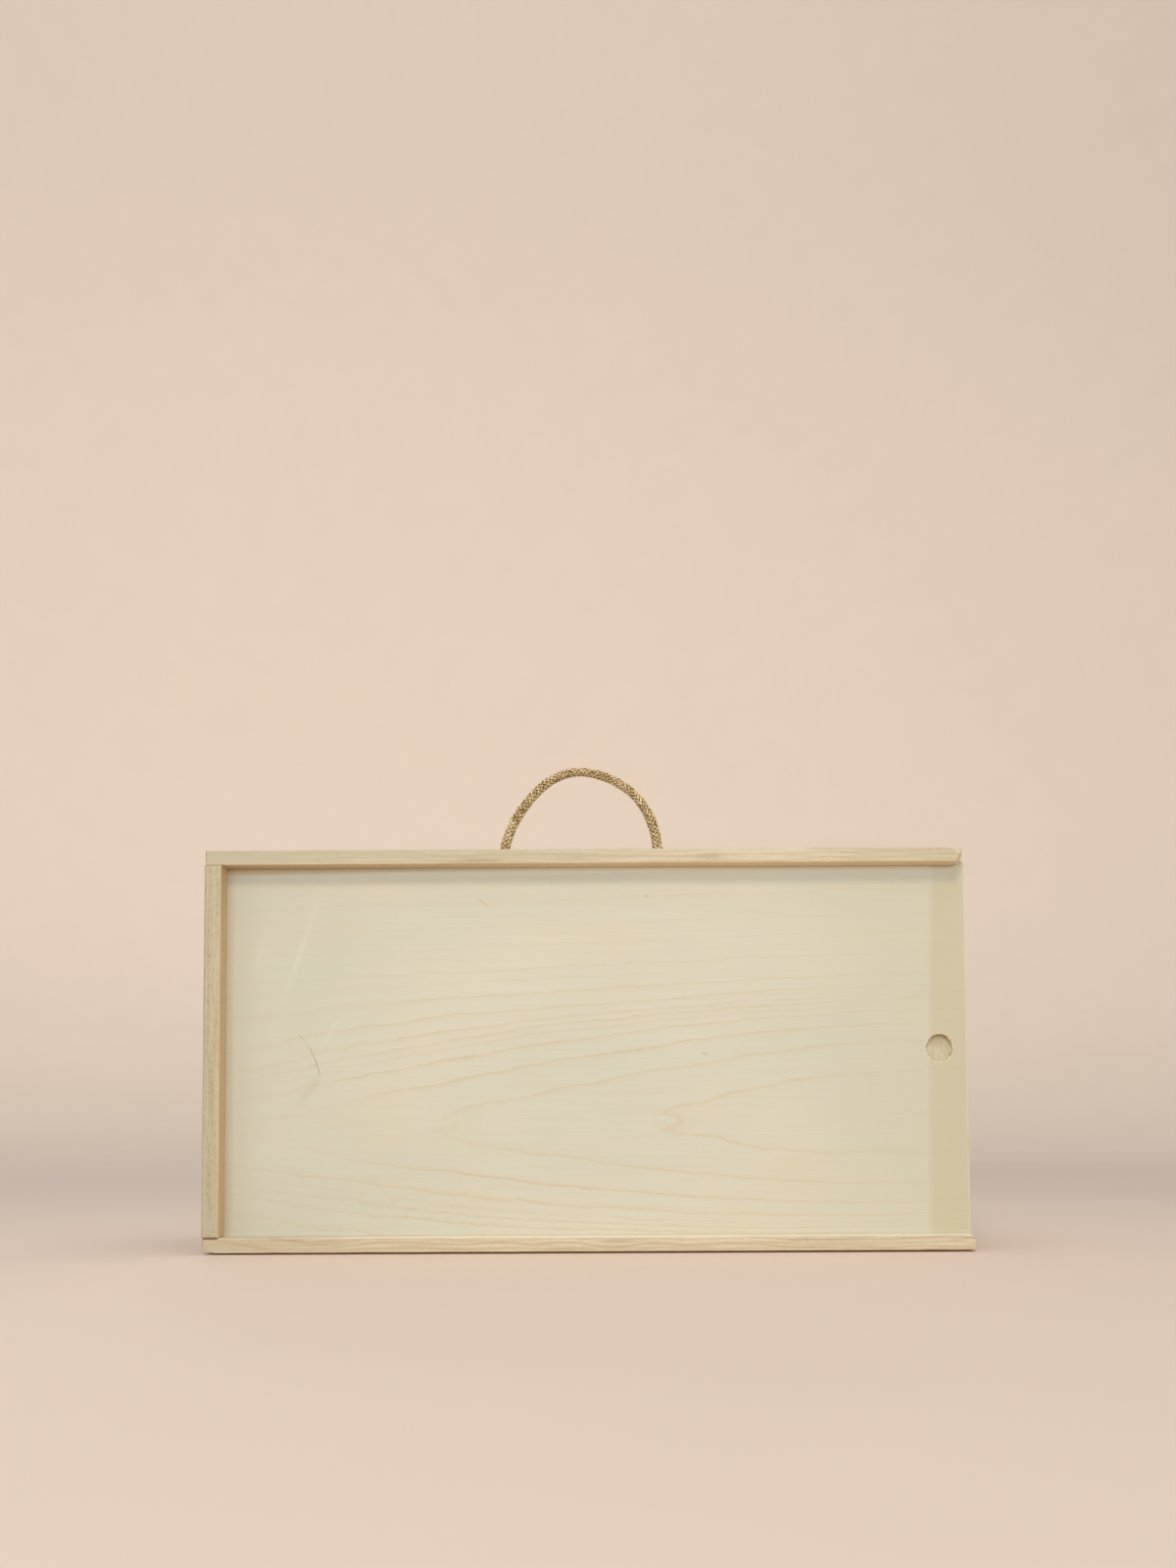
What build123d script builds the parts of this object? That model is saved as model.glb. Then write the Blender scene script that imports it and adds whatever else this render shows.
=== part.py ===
"""Sliding lid box of thin pine boards and plywood, with a rope carrying handle, in millimetres.

The box stands on its long narrow side, with the sliding lid facing -Y.
+X runs to the open end, where the lid slides out, and +Z is up.
The origin is the middle of the base face.
"""

import math
import os

from build123d import *

# Whole box
box_length = 360.0
box_height = 189.0
box_depth = 98.0

# Boards and panels
board_thickness = 7.0
end_board_thickness = 8.0
end_board_proud = 0.5
back_panel_thickness = 3.0
arris = 0.4

# Sliding lid and the grooves that it runs in
lid_thickness = 4.0
lid_recess = 10.0
groove_depth = 3.5
lid_clearance = 0.3
finger_recess_diameter = 13.0
finger_recess_depth = 2.2
finger_recess_from_end = 13.2

# Places where the wood is broken or worn
lip_break_length = 5.0
lip_break_slant = 1.6
lip_break_depth = 17.0
corner_break_length = 2.0
corner_break_height = 2.2
worn_corner_length = 6.5
worn_corner_height = 1.2

# Rope handle, with the centre of its holes measured from the middle of the box
rope_diameter = 5.0
rope_hole_spacing = 79.0
handle_offset = -3.0
hole_clearance = 0.3
hole_mouth = 0.5
pivot_clearance = 0.3
knot_diameter = 13.0
knot_height = 10.0
rope_tail_length = 12.0

# Brads through the long boards into the end boards
brad_length = 25.0
brad_diameter = 1.4
brad_head_diameter = 2.4
brad_head_height = 0.8
brad_spacing = 30.0
nail_clearance = 0.05

# Pins through the back panel into the four boards
pin_length = 14.0
pin_diameter = 1.1
pin_head_diameter = 2.2
pin_head_height = 0.6
pin_columns = 5
pin_rows = 3
pin_column_inset = 24.0
pin_brad_distance = 10.0

# The handle rope's free stretch: how far each point of its route lies to the right of the
# middle of the two holes, and how far above the box
handle_points = [
    (-38.4, 15.0),
    (-30.2, 31.5),
    (-15.9, 46.3),
    (-0.7, 50.6),
    (15.1, 46.4),
    (28.9, 37.0),
    (37.4, 21.0),
]
arc_share_of_run = 0.45

# Places worked out from the sizes above
left_x = -box_length / 2
right_x = box_length / 2
front_y = -box_depth / 2
back_y = box_depth / 2
frame_back_y = back_y - back_panel_thickness
lower_inside_z = board_thickness
upper_inside_z = box_height - board_thickness
closed_outside_x = left_x - end_board_proud
closed_inside_x = closed_outside_x + end_board_thickness
open_inside_x = right_x - end_board_thickness
lid_front_y = front_y + lid_recess
lid_back_y = lid_front_y + lid_thickness
groove_front_y = lid_front_y - lid_clearance
groove_back_y = lid_back_y + lid_clearance
rope_radius = rope_diameter / 2
rope_hole_radius = rope_radius + hole_clearance
left_hole_x = handle_offset - rope_hole_spacing / 2
right_hole_x = handle_offset + rope_hole_spacing / 2
pivot_z = box_height + rope_radius + pivot_clearance
brad_left_x = (closed_outside_x + closed_inside_x) / 2
brad_right_x = (open_inside_x + right_x) / 2
brad_middle_y = (groove_back_y + frame_back_y) / 2
brad_rows_y = [brad_middle_y + step * brad_spacing for step in (-1, 0, 1)]
pin_half_width = box_length / 2 - pin_column_inset
pin_half_height = box_height / 2 - brad_length - pin_brad_distance


def rectangle(low_x, high_x, low_y, high_y, mode=Mode.ADD):
    """A rectangle between four edges, in the open sketch's own directions."""
    with Locations(((low_x + high_x) / 2, (low_y + high_y) / 2)):
        Rectangle(high_x - low_x, high_y - low_y, mode=mode)


def nails(places, length, diameter, head_diameter, head_height, clearance=0.0):
    """Nails whose heads lie in the given planes, each driven in against its plane's direction.

    With a clearance they are the seats of such nails, that much larger all round.
    """
    with BuildPart() as group:
        for place in places:
            with BuildSketch(place):
                Circle(head_diameter / 2 + clearance)
            extrude(amount=-(head_height + clearance))
            with BuildSketch(place):
                Circle(diameter / 2 + clearance)
            extrude(amount=-(length + clearance))
    return group


def down_brads(x):
    """Planes of the brads that go down through the top board at x."""
    return [Plane((x, y, box_height), x_dir=(1, 0, 0), z_dir=(0, 0, 1)) for y in brad_rows_y]


def up_brads(x):
    """Planes of the brads that go up through the bottom board at x."""
    return [Plane((x, y, 0), x_dir=(1, 0, 0), z_dir=(0, 0, -1)) for y in brad_rows_y]


def back_pins(x_places, z_places):
    """Planes of the pins that go through the back panel at each x and z."""
    return [
        Plane((x, back_y, z), x_dir=(1, 0, 0), z_dir=(0, 1, 0)) for x in x_places for z in z_places
    ]


# Brads at the four corners and pins round the back panel, with their heads flush
brad_size = (brad_length, brad_diameter, brad_head_diameter, brad_head_height)
pin_size = (pin_length, pin_diameter, pin_head_diameter, pin_head_height)
pin_columns_x = [
    pin_half_width * (2 * column / (pin_columns - 1) - 1) for column in range(pin_columns)
]
pin_rows_z = [
    box_height / 2 + pin_half_height * (2 * row / (pin_rows - 1) - 1) for row in range(pin_rows)
]
pin_places = [
    *back_pins(pin_columns_x, [board_thickness / 2, box_height - board_thickness / 2]),
    *back_pins([brad_left_x, brad_right_x], pin_rows_z),
]
top_left_brads = nails(down_brads(brad_left_x), *brad_size)
top_right_brads = nails(down_brads(brad_right_x), *brad_size)
bottom_left_brads = nails(up_brads(brad_left_x), *brad_size)
bottom_right_brads = nails(up_brads(brad_right_x), *brad_size)
back_panel_pins = nails(pin_places, *pin_size)

# The seats that the nails have pressed for themselves in the wood
brad_places = [
    *down_brads(brad_left_x),
    *down_brads(brad_right_x),
    *up_brads(brad_left_x),
    *up_brads(brad_right_x),
]
brad_seats = nails(brad_places, *brad_size, clearance=nail_clearance)
pin_seats = nails(pin_places, *pin_size, clearance=nail_clearance)

# The slanted plane along which the top board's front corner is broken off at the open end
lip_break_start = Vector(right_x - lip_break_length, front_y, box_height)
lip_break_down = Vector(-lip_break_slant, 0, -board_thickness)
lip_break_back = Vector(lip_break_length, lip_break_depth, 0)
lip_break = Plane(origin=lip_break_start, z_dir=lip_break_down.cross(lip_break_back))

# Top board: lid groove along its inner face, two rope holes, front corner broken off
with BuildPart() as top_board:
    with BuildSketch(Plane.YZ.offset(left_x)) as section:
        rectangle(front_y, frame_back_y, upper_inside_z, box_height)
        chamfer(section.vertices(), arris)
        rectangle(
            groove_front_y,
            groove_back_y,
            upper_inside_z - arris,
            upper_inside_z + groove_depth,
            mode=Mode.SUBTRACT,
        )
    extrude(amount=box_length)
    with BuildSketch(Plane.XY.offset(box_height)):
        with Locations((left_hole_x, 0), (right_hole_x, 0)):
            Circle(rope_hole_radius)
    extrude(amount=-board_thickness, mode=Mode.SUBTRACT)
    mouths = top_board.faces().sort_by(Axis.Z)[-1].inner_wires().edges()
    chamfer(mouths, hole_mouth)
    split(bisect_by=lip_break, keep=Keep.BOTTOM)
    add(brad_seats.part, mode=Mode.SUBTRACT)
    add(pin_seats.part, mode=Mode.SUBTRACT)

# Bottom board: the same groove, one upper corner broken at the open end, one worn lower corner
with BuildPart() as bottom_board:
    with BuildSketch(Plane.YZ.offset(left_x)) as section:
        rectangle(front_y, frame_back_y, 0, lower_inside_z)
        chamfer(section.vertices(), arris)
        rectangle(
            groove_front_y,
            groove_back_y,
            lower_inside_z - groove_depth,
            lower_inside_z + arris,
            mode=Mode.SUBTRACT,
        )
    extrude(amount=box_length)
    with BuildSketch(Plane.XZ.offset(-front_y)):
        with BuildLine():
            Polyline(
                (right_x - corner_break_length, lower_inside_z),
                (right_x, lower_inside_z),
                (right_x, lower_inside_z - corner_break_height),
                close=True,
            )
        make_face()
        with BuildLine():
            Polyline(
                (left_x, worn_corner_height),
                (left_x, 0),
                (left_x + worn_corner_length, 0),
                close=True,
            )
        make_face()
    extrude(amount=-(groove_front_y - front_y), mode=Mode.SUBTRACT)
    add(brad_seats.part, mode=Mode.SUBTRACT)
    add(pin_seats.part, mode=Mode.SUBTRACT)

# Closed end board, between the long boards, grooved for the end of the lid
with BuildPart() as closed_end_board:
    with BuildSketch(Plane.XY.offset(lower_inside_z)) as section:
        rectangle(closed_outside_x, closed_inside_x, front_y, frame_back_y)
        chamfer(section.vertices(), arris)
        rectangle(
            closed_inside_x - groove_depth,
            closed_inside_x + arris,
            groove_front_y,
            groove_back_y,
            mode=Mode.SUBTRACT,
        )
    extrude(amount=upper_inside_z - lower_inside_z)
    front_ends = closed_end_board.edges().filter_by(Axis.X).group_by(Axis.Y)[0]
    chamfer(front_ends, arris)
    add(brad_seats.part, mode=Mode.SUBTRACT)
    add(pin_seats.part, mode=Mode.SUBTRACT)

# Open end board, lower than the others so that the lid passes in front of it
with BuildPart() as open_end_board:
    with BuildSketch(Plane.XY.offset(lower_inside_z)) as section:
        rectangle(open_inside_x, right_x, groove_back_y, frame_back_y)
        chamfer(section.vertices(), arris)
    extrude(amount=upper_inside_z - lower_inside_z)
    add(brad_seats.part, mode=Mode.SUBTRACT)
    add(pin_seats.part, mode=Mode.SUBTRACT)

# Plywood back panel, pinned on the back edges of the four boards
with BuildPart() as back_panel:
    with BuildSketch(Plane.XZ.offset(-back_y)) as outline:
        rectangle(left_x, right_x, 0, box_height)
    extrude(amount=back_panel_thickness)
    rim = back_panel.faces().sort_by(Axis.Y)[-1].edges()
    chamfer(rim, arris)
    add(pin_seats.part, mode=Mode.SUBTRACT)

# Sliding lid, held in three grooves, with a blind round recess for a finger tip
lid_left_x = closed_inside_x - groove_depth + lid_clearance
lid_low_z = lower_inside_z - groove_depth + lid_clearance
lid_high_z = upper_inside_z + groove_depth - lid_clearance
with BuildPart() as sliding_lid:
    with BuildSketch(Plane.XZ.offset(-lid_front_y)):
        rectangle(lid_left_x, right_x, lid_low_z, lid_high_z)
    extrude(amount=-lid_thickness)
    with BuildSketch(Plane.XZ.offset(-lid_front_y)):
        with Locations((right_x - finger_recess_from_end, box_height / 2)):
            Circle(finger_recess_diameter / 2)
    extrude(amount=-finger_recess_depth, mode=Mode.SUBTRACT)


def corner_radii(route):
    """The radius of the arc at each inner point of a route, as large as its two runs allow."""
    radii = []
    for before, corner, after in zip(route, route[1:], route[2:]):
        run_in = Vector(*corner) - Vector(*before)
        run_out = Vector(*after) - Vector(*corner)
        turn = math.radians(run_in.get_angle(run_out))
        shorter_run = min(run_in.length, run_out.length)
        radii.append(arc_share_of_run * shorter_run / math.tan(turn / 2))
    return radii


# Free arch of the rope, which swings about the two points where it leaves the box
handle_route = [
    (left_hole_x, pivot_z),
    *((handle_offset + x, box_height + z) for x, z in handle_points),
    (right_hole_x, pivot_z),
]
handle_radii = corner_radii(handle_route)
with BuildPart() as rope_handle:
    with BuildLine(Plane.XZ) as centre_line:
        FilletPolyline(*handle_route, radius=handle_radii)
    rope_start = centre_line.line @ 0
    rope_end = centre_line.line @ 1
    with BuildSketch(Plane(rope_start, z_dir=centre_line.line % 0)):
        Circle(rope_radius)
    sweep(path=centre_line.line)
    tube_volume = rope_handle.part.volume
    with Locations(rope_start, rope_end):
        Sphere(rope_radius)


def rope_stem(hole_x):
    """The short stretch of rope inside one hole of the top board."""
    with BuildPart() as stem:
        with BuildSketch(Plane((hole_x, 0, upper_inside_z), z_dir=(0, 0, 1))):
            Circle(rope_radius)
        extrude(amount=board_thickness)
    return stem


def rope_knot(hole_x):
    """The overhand knot under one hole, drawn up against the board, with the rope's tail below it."""
    knot_radius = knot_diameter / 2
    knot_middle_z = upper_inside_z - knot_height / 2
    knot_low_z = upper_inside_z - knot_height
    with BuildPart() as knot:
        with BuildSketch(Plane((hole_x, 0, 0), x_dir=(1, 0, 0), z_dir=(0, -1, 0))):
            with BuildLine():
                Line((0, upper_inside_z), (rope_hole_radius + hole_mouth, upper_inside_z))
                ThreePointArc(
                    (rope_hole_radius + hole_mouth, upper_inside_z),
                    (knot_radius, knot_middle_z),
                    (rope_radius, knot_low_z),
                )
                Line((rope_radius, knot_low_z), (rope_radius, knot_low_z - rope_tail_length))
                Line((rope_radius, knot_low_z - rope_tail_length), (0, knot_low_z - rope_tail_length))
                Line((0, knot_low_z - rope_tail_length), (0, upper_inside_z))
            make_face()
        revolve(axis=Axis((hole_x, 0, 0), (0, 0, 1)))
    return knot


pieces = {
    "top_board": top_board,
    "bottom_board": bottom_board,
    "closed_end_board": closed_end_board,
    "open_end_board": open_end_board,
    "back_panel": back_panel,
    "sliding_lid": sliding_lid,
    "top_left_brads": top_left_brads,
    "top_right_brads": top_right_brads,
    "bottom_left_brads": bottom_left_brads,
    "bottom_right_brads": bottom_right_brads,
    "back_panel_pins": back_panel_pins,
    "rope_handle": rope_handle,
    "rope_stem_left": rope_stem(left_hole_x),
    "rope_stem_right": rope_stem(right_hole_x),
    "rope_knot_left": rope_knot(left_hole_x),
    "rope_knot_right": rope_knot(right_hole_x),
}

os.makedirs("parts", exist_ok=True)
for name, piece in pieces.items():
    piece.part.label = name
    export_step(piece.part, f"parts/{name}.step")

tube_length = sum(edge.length for edge in centre_line.edges())
section_area = math.pi * rope_radius**2
print("Rope arc radii:", [round(radius, 1) for radius in handle_radii])
print("Rope arch length:", round(tube_length, 1))
print("Rope tube volume over section times length:", round(tube_volume / (section_area * tube_length), 4))
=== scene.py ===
"""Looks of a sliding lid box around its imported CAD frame.

Worn pine boards, a plywood lid and back, nail heads, and one braided straw rope that is knotted
under the top board. Everything is in metres and in the CAD's frame: +X to the open end, +Y to the
back panel, +Z up to the rope handle. Shades are given as they look on a screen, 0 to 255.
"""

import math

import bmesh
import bpy
import numpy as np
from mathutils import Matrix, Vector, noise


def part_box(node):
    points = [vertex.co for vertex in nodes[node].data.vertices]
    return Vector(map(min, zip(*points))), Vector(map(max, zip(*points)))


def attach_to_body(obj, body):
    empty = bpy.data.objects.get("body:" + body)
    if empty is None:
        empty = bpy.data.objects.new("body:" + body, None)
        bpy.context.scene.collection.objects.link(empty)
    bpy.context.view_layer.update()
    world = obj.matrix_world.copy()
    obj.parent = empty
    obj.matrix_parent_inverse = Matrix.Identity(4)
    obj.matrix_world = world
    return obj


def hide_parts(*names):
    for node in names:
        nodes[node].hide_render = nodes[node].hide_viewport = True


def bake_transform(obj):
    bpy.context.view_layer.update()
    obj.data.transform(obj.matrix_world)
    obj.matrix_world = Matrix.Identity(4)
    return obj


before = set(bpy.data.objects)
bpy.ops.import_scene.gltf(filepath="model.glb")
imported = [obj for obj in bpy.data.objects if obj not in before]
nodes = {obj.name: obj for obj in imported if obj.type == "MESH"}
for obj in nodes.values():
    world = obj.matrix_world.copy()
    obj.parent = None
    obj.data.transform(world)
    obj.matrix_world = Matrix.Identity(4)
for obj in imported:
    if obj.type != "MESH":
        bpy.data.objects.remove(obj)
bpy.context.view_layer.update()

MM = 0.001
X, Y, Z = 0, 1, 2

# Sizes of the box that the looks need, in metres
case_low, case_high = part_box("top_board")
lid_low, lid_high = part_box("sliding_lid")
top_z = case_high.z
board_thickness = 7.0 * MM
lip_depth = 9.7 * MM
lid_thickness = 4.0 * MM
back_thickness = 3.0 * MM
hole_spacing = 79.0 * MM
handle_offset = -3.0 * MM
left_hole_x = handle_offset - hole_spacing / 2
right_hole_x = handle_offset + hole_spacing / 2
pivot_height = 2.8 * MM
rope_diameter = 5.0 * MM
rope_radius = rope_diameter / 2
recess_radius = 6.5 * MM
recess_depth = 2.2 * MM
recess_centre = Vector((lid_high.x - 13.2 * MM, lid_low.y, top_z / 2))


def colour(red, green, blue):
    """A colour given as it looks on a screen, as the linear values that nodes take."""
    shares = [value / 255 for value in (red, green, blue)]
    return (*[s / 12.92 if s <= 0.04045 else ((s + 0.055) / 1.055) ** 2.4 for s in shares], 1.0)


# Camera, read from the photograph: 1200 by 1600 pixels, the lens given for the long side
image_height = 1600
focal_pixels = 1364.9
centre_row = 1080.2
sensor_width = 36.0
camera_place = Vector((0.0008, -0.6737, 0.0586))
camera_yaw = math.radians(0.09)
camera_pitch = math.radians(2.86)
camera_roll = math.radians(0.27)


def make_camera():
    """The camera at the photograph's place and angle, with its picture shifted up."""
    level = Vector((math.cos(camera_yaw), math.sin(camera_yaw), 0))
    ahead = Vector((-math.sin(camera_yaw), math.cos(camera_yaw), 0))
    forward = ahead * math.cos(camera_pitch) + Vector((0, 0, math.sin(camera_pitch)))
    upright = level.cross(forward)
    right = math.cos(camera_roll) * level - math.sin(camera_roll) * upright
    up = math.sin(camera_roll) * level + math.cos(camera_roll) * upright
    data = bpy.data.cameras.new("camera")
    data.lens = focal_pixels / image_height * sensor_width
    data.sensor_width = sensor_width
    data.shift_y = (centre_row - image_height / 2) / image_height
    data.clip_start = 0.01
    camera = bpy.data.objects.new("camera", data)
    rows = [(right[i], up[i], -forward[i], camera_place[i]) for i in (X, Y, Z)]
    camera.matrix_world = Matrix(rows + [(0, 0, 0, 1)])
    bpy.context.scene.collection.objects.link(camera)
    bpy.context.scene.camera = camera


make_camera()


class Value:
    """What one node of a shader gives, a number or a vector. Arithmetic on it adds more nodes."""

    def __init__(self, shader, socket):
        self.shader = shader
        self.socket = socket

    def math(self, operation, *others):
        """An operation on numbers or on vectors, whichever the value is."""
        number = self.socket.type == "VALUE"
        kind = "ShaderNodeMath" if number else "ShaderNodeVectorMath"
        output = int(operation in ("LENGTH", "DOT_PRODUCT"))
        inputs = dict(enumerate((self, *others)))
        return self.shader.node(kind, inputs, output, operation=operation)

    def __add__(self, other):
        return self.math("ADD", other)

    def __sub__(self, other):
        return self.math("SUBTRACT", other)

    def __rsub__(self, other):
        return self.math("MULTIPLY_ADD", -1.0, other)

    def __mul__(self, other):
        return self.math("MULTIPLY", other)

    def __truediv__(self, other):
        return self.math("DIVIDE", other)

    def __pow__(self, other):
        return self.math("POWER", other)

    def __abs__(self):
        return self.math("ABSOLUTE")

    def parts(self):
        """The x, y and z of a vector."""
        made = self.shader.node("ShaderNodeSeparateXYZ", {0: self}).socket.node
        return [Value(self.shader, socket) for socket in made.outputs]

    def join(self, y, z):
        """A vector with the number as its x."""
        return self.shader.node("ShaderNodeCombineXYZ", {0: self, 1: y, 2: z})

    def noise(self, scale, detail=2.0, roughness=0.5, shift=(0, 0, 0), output=0):
        """Noise from 0 to 1 at a place, with scale cells to a metre, once or for each axis."""
        place = self
        if isinstance(scale, tuple):
            mapping = {"Vector": self, "Scale": scale, "Location": shift}
            place, scale = self.shader.node("ShaderNodeMapping", mapping), 1.0
        inputs = {"Vector": place, "Scale": scale, "Detail": detail, "Roughness": roughness}
        return self.shader.node("ShaderNodeTexNoise", inputs, output=output)

    def fade(self, start, end, low=0.0, high=1.0, kind="SMOOTHSTEP"):
        """A smooth step from low, where the value is start, to high, where it is end."""
        inputs = {0: self, 1: start, 2: end, 3: low, 4: high}
        return self.shader.node("ShaderNodeMapRange", inputs, interpolation_type=kind)

    def slope(self, start, end, low=0.0, high=1.0):
        """A straight change from low, where the value is start, to high, where it is end."""
        return self.fade(start, end, low, high, "LINEAR")

    def mix(self, first, second, blend="MIX"):
        """Two colours mixed, with the value as the second one's share."""
        inputs = {0: self, 6: first, 7: second}
        settings = {"data_type": "RGBA", "blend_type": blend, "clamp_factor": True}
        return self.shader.node("ShaderNodeMix", inputs, output=2, **settings)

    def shades(self, start, end, first, second):
        """A first shade, where the value is start, that turns to a second, where it is end."""
        return self.fade(start, end).mix(colour(*first), colour(*second))

    def ramp(self, stops):
        made = self.shader.node("ShaderNodeValToRGB", {0: self})
        ramp = made.socket.node.color_ramp
        for index, (place, shade) in enumerate(stops):
            stop = ramp.elements[index] if index < 2 else ramp.elements.new(place)
            stop.position = place
            stop.color = colour(*shade)
        return made

    def bump(self, distance, strength):
        """The surface's direction, with the value as its height."""
        inputs = {"Height": self, "Distance": distance, "Strength": strength}
        return self.shader.node("ShaderNodeBump", inputs)


class Shader:
    """One procedural material, made of nodes."""

    def __init__(self, name, specular):
        self.material = bpy.data.materials.new(name)
        self.material.use_nodes = True
        self.tree = self.material.node_tree
        self.surface = self.tree.nodes["Principled BSDF"].inputs
        self.surface["Specular IOR Level"].default_value = specular

    def feed(self, socket, value):
        if isinstance(value, Value):
            self.tree.links.new(value.socket, socket)
        else:
            socket.default_value = value

    def node(self, kind, inputs, output=0, **settings):
        made = self.tree.nodes.new(kind)
        for name, value in settings.items():
            setattr(made, name, value)
        for key, value in inputs.items():
            self.feed(made.inputs[key], value)
        return Value(self, made.outputs[output])

    def place(self):
        """The place on the piece at rest, in the row's frame."""
        return self.node("ShaderNodeTexCoord", {}, output=3)

    def facing(self):
        """The way the surface faces, in the piece's own directions, as three parts."""
        return self.node("ShaderNodeTexCoord", {}, output=1).parts()

    def attribute(self, name, output=2):
        """An attribute of the mesh: a number, or a vector with output 1."""
        return self.node("ShaderNodeAttribute", {}, output=output, attribute_name=name)

    def finish(self, base, normal, roughness):
        self.feed(self.surface["Base Color"], base)
        self.feed(self.surface["Normal"], normal)
        self.feed(self.surface["Roughness"], roughness)
        return self.material


def paint(base, *coats):
    """Lays coats over base, each a shade and the share of base that it covers."""
    for shade, share in coats:
        base = share.mix(base, colour(*shade))
    return base


def attach(name, mesh, material):
    """A new piece of the scene from a mesh, with one material."""
    mesh.materials.clear()
    mesh.materials.append(material)
    piece = bpy.data.objects.new(name, mesh)
    bpy.context.scene.collection.objects.link(piece)
    return piece


# Rope: the route of its free arch, as in the part's source, with a point in each hole's board
handle_points = [
    (-38.4, 15.0),
    (-30.2, 31.5),
    (-15.9, 46.3),
    (-0.7, 50.6),
    (15.1, 46.4),
    (28.9, 37.0),
    (37.4, 21.0),
]
stem_depth = 10.0 * MM
route_fineness = 40
rope_route = [
    (left_hole_x, 0, top_z - stem_depth),
    (left_hole_x, 0, top_z + pivot_height),
    *[(handle_offset + x * MM, 0, top_z + z * MM) for x, z in handle_points],
    (right_hole_x, 0, top_z + pivot_height),
    (right_hole_x, 0, top_z - stem_depth),
]


def unit(vectors):
    return vectors / np.linalg.norm(vectors, axis=1)[:, None]


class Line:
    """A smooth NURBS line along a route, with a frame of three directions at each distance."""

    def __init__(self, route):
        curve = bpy.data.curves.new("route", "CURVE")
        curve.dimensions = "3D"
        spline = curve.splines.new("NURBS")
        spline.points.add(len(route) - 1)
        for control, place in zip(spline.points, route):
            control.co = (*place, 1.0)
        spline.order_u = 3
        spline.use_endpoint_u = True
        spline.resolution_u = route_fineness
        holder = bpy.data.objects.new("route", curve)
        mesh = bpy.data.meshes.new_from_object(holder)
        self.points = np.array([vertex.co for vertex in mesh.vertices], float)
        bpy.data.meshes.remove(mesh)
        bpy.data.objects.remove(holder)
        bpy.data.curves.remove(curve)
        runs = np.linalg.norm(np.diff(self.points, axis=0), axis=1)
        self.reach = np.concatenate(([0.0], np.cumsum(runs)))
        self.length = self.reach[-1]
        self.along = unit(np.gradient(self.points, self.reach, axis=0))
        self.side = self.carried_side()

    def carried_side(self):
        """A side direction that is carried along the line without twisting round it."""
        side = np.cross(self.along[0], (0.0, 1.0, 0.0))
        sides = []
        for along in self.along:
            side = side - along * (side @ along)
            side = side / np.linalg.norm(side)
            sides.append(side)
        return np.array(sides)

    def at(self, distance):
        """Place and the along, side and across directions at each distance along the line."""
        place, along, side = [
            np.stack([np.interp(distance, self.reach, track[:, axis]) for axis in (X, Y, Z)], 1)
            for track in (self.points, self.along, self.side)
        ]
        along = unit(along)
        across = unit(np.cross(along, side))
        return place, along, np.cross(across, along), across


class TubeMesh:
    """Collects tubes with their own widths, and the attributes that their shader reads."""

    def __init__(self):
        self.places = []
        self.faces = []
        self.along = []
        self.tone = []
        self.count = 0
        self.tubes = 0

    def add(self, centres, wide, thick, half_width, half_thickness, tone, sides=6):
        """One tube round a row of centres, its section an ellipse between two directions."""
        rows = len(centres)
        angles = np.arange(sides) * 2 * math.pi / sides
        reach_wide = np.broadcast_to(half_width, rows)[:, None] * np.cos(angles)
        reach_thick = np.broadcast_to(half_thickness, rows)[:, None] * np.sin(angles)
        ring = centres[:, None] + wide[:, None] * reach_wide[..., None]
        ring = ring + thick[:, None] * reach_thick[..., None]
        self.places.append(ring.reshape(-1, 3))
        steps = np.linalg.norm(np.diff(centres, axis=0), axis=1)
        straight = np.zeros((rows, sides, 3))
        straight[..., X] = np.concatenate(([0.0], np.cumsum(steps)))[:, None]
        straight[..., Y] = reach_wide
        straight[..., Z] = reach_thick + 0.01 * self.tubes
        self.along.append(straight.reshape(-1, 3))
        self.tone.append(np.repeat(np.broadcast_to(tone, rows), sides))
        first = self.count
        for low in range(first, first + (rows - 1) * sides, sides):
            for side in range(sides):
                after = (side + 1) % sides
                self.faces.append((low + side, low + after, low + sides + after, low + sides + side))
        last = first + (rows - 1) * sides
        self.faces.append(tuple(first + side for side in reversed(range(sides))))
        self.faces.append(tuple(last + side for side in range(sides)))
        self.count += rows * sides
        self.tubes += 1

    def made(self, name):
        mesh = bpy.data.meshes.new(name)
        mesh.from_pydata(np.concatenate(self.places).tolist(), [], self.faces)
        straight = mesh.attributes.new("straw", "FLOAT_VECTOR", "POINT")
        straight.data.foreach_set("vector", np.concatenate(self.along).ravel())
        tone = mesh.attributes.new("tone", "FLOAT", "POINT")
        tone.data.foreach_set("value", np.concatenate(self.tone))
        mesh.shade_smooth()
        return mesh


# How the rope is braided
strands_each_way = 10
braid_angle = math.radians(30)
straws_per_strand = 2
straw_half_width = 0.22 * MM
straw_half_thickness = 0.17 * MM
straw_pitch = 0.4 * MM
braid_lift = 0.32 * MM
braid_radius = rope_radius - braid_lift - straw_half_thickness
straw_step = 0.4 * MM
# The core's dark tone is painted shade for the gaps between the straws
core_shade_tone = -0.6
# How much darker a straw is where it dips under the others: painted shade, and dust in the hollows
under_shade = 0.75
fleck_tone = 0.75
fleck_spread = 0.2


def wander(chance, distance, wavelength, size):
    """A smooth random value along a distance, about size large."""
    knots = np.arange(distance[0], distance[-1] + 2 * wavelength, wavelength)
    return np.interp(distance, knots, chance.normal(0.0, size, len(knots)))


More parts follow.
